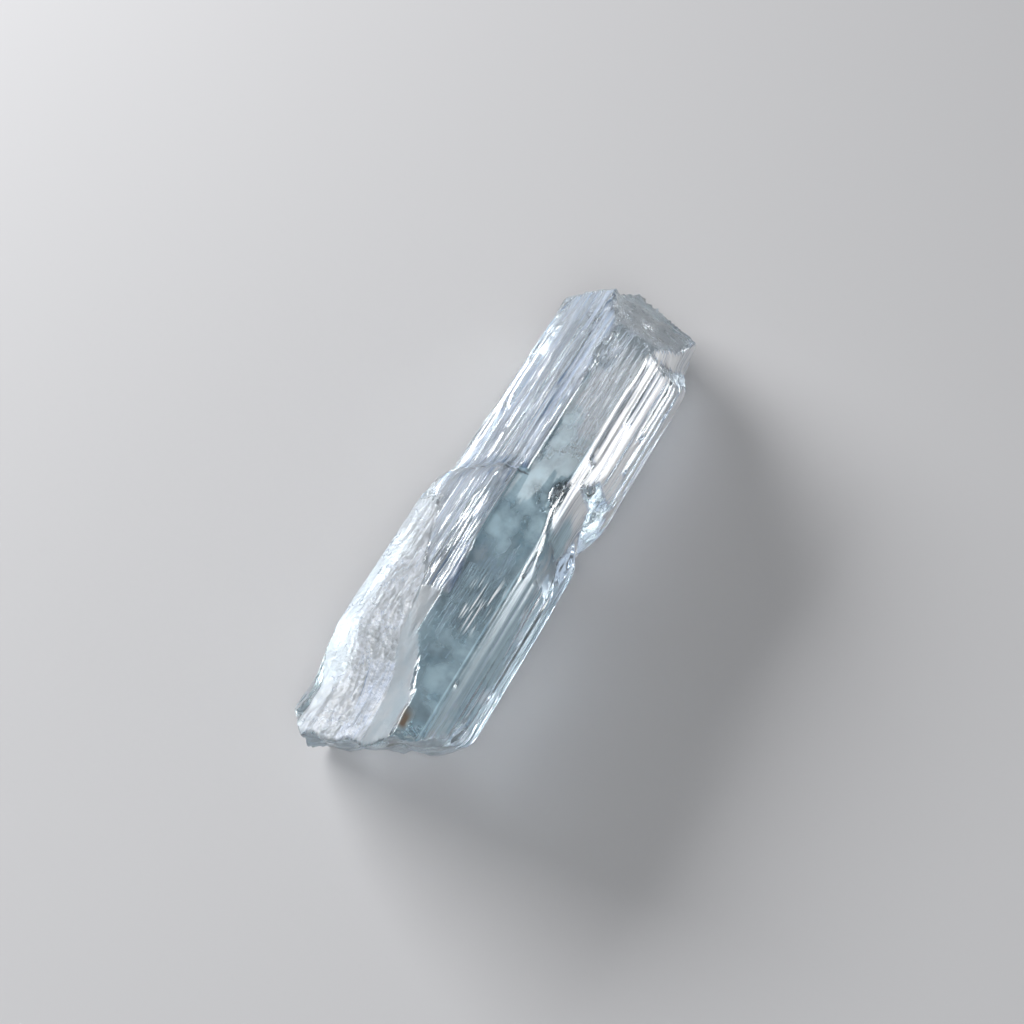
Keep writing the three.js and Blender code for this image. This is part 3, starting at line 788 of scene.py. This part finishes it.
# A few grains of a dark iron mineral, grown over just under the surface: black flecks with a soft edge
grainPlan = {
    "size": (0.12, 0.3),
    "uneven": (0.5, 1.3),
    "depth": 0.2,
    "roughened": 0.3,
    "spots": [(-22.2, -6.9, 12.6), (-4.6, -6.1, 12.9), (-28.0, -4.2, 11.9), (-27.7, -4.6, 11.4),
              (14.6, -3.4, 13.2), (15.1, -5.0, 13.1), (-9.5, -7.0, 12.2), (6.5, -2.9, 13.3)],
    "surface": {"Base Color": linear("2E2823"), "Roughness": 0.45},
}
deselectAll()
bpy.ops.mesh.primitive_ico_sphere_add(subdivisions=2, radius=0.5 * mm)
grain = bpy.context.object
rough = placesOf(grain.data)
moveTo(grain.data, rough * (1 + grainPlan["roughened"] * lumps(rough, 0.3, 95))[:, None])
spots = np.array(grainPlan["spots"])
spots = spots[depthInside(spots) > grainPlan["depth"]]
sizes = unevenSizes(grainPlan, len(spots))
grains = copies("darkGrains", grain, spots, sizes, turnings(len(spots)))
finishInside(grains, newMaterial("darkIronMineral", grainPlan["surface"])[0])
print("dark grains:", len(spots))
bpy.data.objects.remove(solid, do_unlink=True)

# Pale matt paper, without any gloss, so the shadow and the light the crystal gathers lie soft on it
floorPlan = {
    "size": 3,
    "gap": 0.03 * mm,
    "surface": {"Base Color": linear("D2D2D4"), "Roughness": 0.9, "Specular IOR Level": 0.0},
}
deselectAll()
bpy.ops.mesh.primitive_plane_add(size=floorPlan["size"], location=(0, 0, -floorPlan["gap"]))
floor = bpy.context.object
floor.name = "floor"
floor.data.materials.append(newMaterial("paper", floorPlan["surface"])[0])

# the room is dim and a little blue
room = {"Color": (0.93, 0.96, 1, 1), "Strength": 0.1}
world = bpy.data.worlds.new("room")
bpy.context.scene.world = world
world.use_nodes = True
for socket, value in room.items():
    world.node_tree.nodes["Background"].inputs[socket].default_value = value

lights = {
    # place, aimed at, size, watts, colour, and whether it lights the floor too
    "window": ((0.07, 0.35, 0.17), (0, 0, 0), (0.3, 0.12), 2.05, "FFFFFF", True),
    "overhead": ((-0.25, -0.12, 0.35), (0, 0, 0), (0.3, 0.3), 0.72, "FFFFFF", True),
    "card": ((0.012, 0.034, 0.022), (0, 0, 0.008), (0.09, 0.044), 0.0092, "D6E6FF", False),
    "cardRight": ((0.05, -0.066, 0.026), (0.012, 0, 0.008), (0.06, 0.05), 0.13, "FFFFFF", False),
    "fill": ((0.12, -0.35, 0.1), (0, 0, 0.01), (0.3, 0.12), 0.16, "FFFFFF", True),
    "sky": ((0.0385, 0.012, 0.068), (0.0115, -0.003, 0.014), (0.022, 0.018), 0.0034, "FFFFFF", False),
}
for name, (place, target, size, watts, tint, onFloor) in lights.items():
    bpy.ops.object.light_add(type="AREA", location=place)
    light = bpy.context.object
    light.name = name
    light.data.shape = "RECTANGLE"
    light.data.size, light.data.size_y = size
    light.data.energy = watts
    light.data.color = linear(tint)[:3]
    away = Vector(place) - Vector(target)
    light.rotation_euler = away.to_track_quat("Z", "Y").to_euler()
    light.visible_camera = False
    light.visible_diffuse = onFloor

scene = bpy.context.scene
bounces = {"max_bounces": 14, "diffuse_bounces": 2, "transmission_bounces": 14, "glossy_bounces": 12,
           "transparent_max_bounces": 16}
for name, value in bounces.items():
    setattr(scene.cycles, name, value)
scene.view_settings.view_transform = "Standard"
print("floor and lights set")
